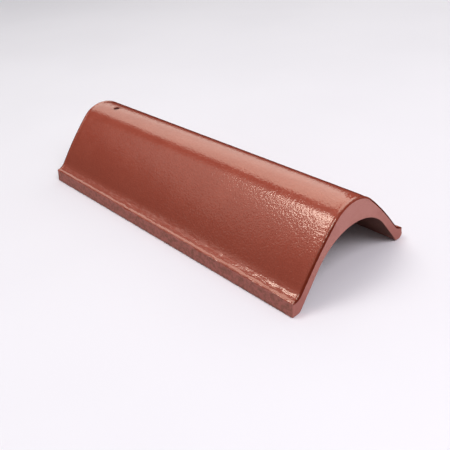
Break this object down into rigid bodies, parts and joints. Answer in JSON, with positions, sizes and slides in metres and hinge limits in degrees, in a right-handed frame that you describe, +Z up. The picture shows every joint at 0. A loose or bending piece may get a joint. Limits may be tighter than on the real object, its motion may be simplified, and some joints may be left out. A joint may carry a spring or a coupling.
{
  "type": "glazed verge tile",
  "caption": "Long glazed clay roof tile with a steep arched section, a low lip along each long edge and a nail hole through the crown near one end",
  "frame": {"origin": "on the ground under the middle of the tile, which rests on its two long feet", "axes": "+X runs along the tile away from the end with the nail hole, +Z is up through the crown, -Y is the side of the lip that stands up as a ledge"},
  "size_m": [0.446, 0.1842, 0.0895],
  "materials": {
    "glazed_clay": "gloss"
  },
  "bodies": {
    "root": {"verge_tile": "glazed_clay"}
  },
  "joints": []
}
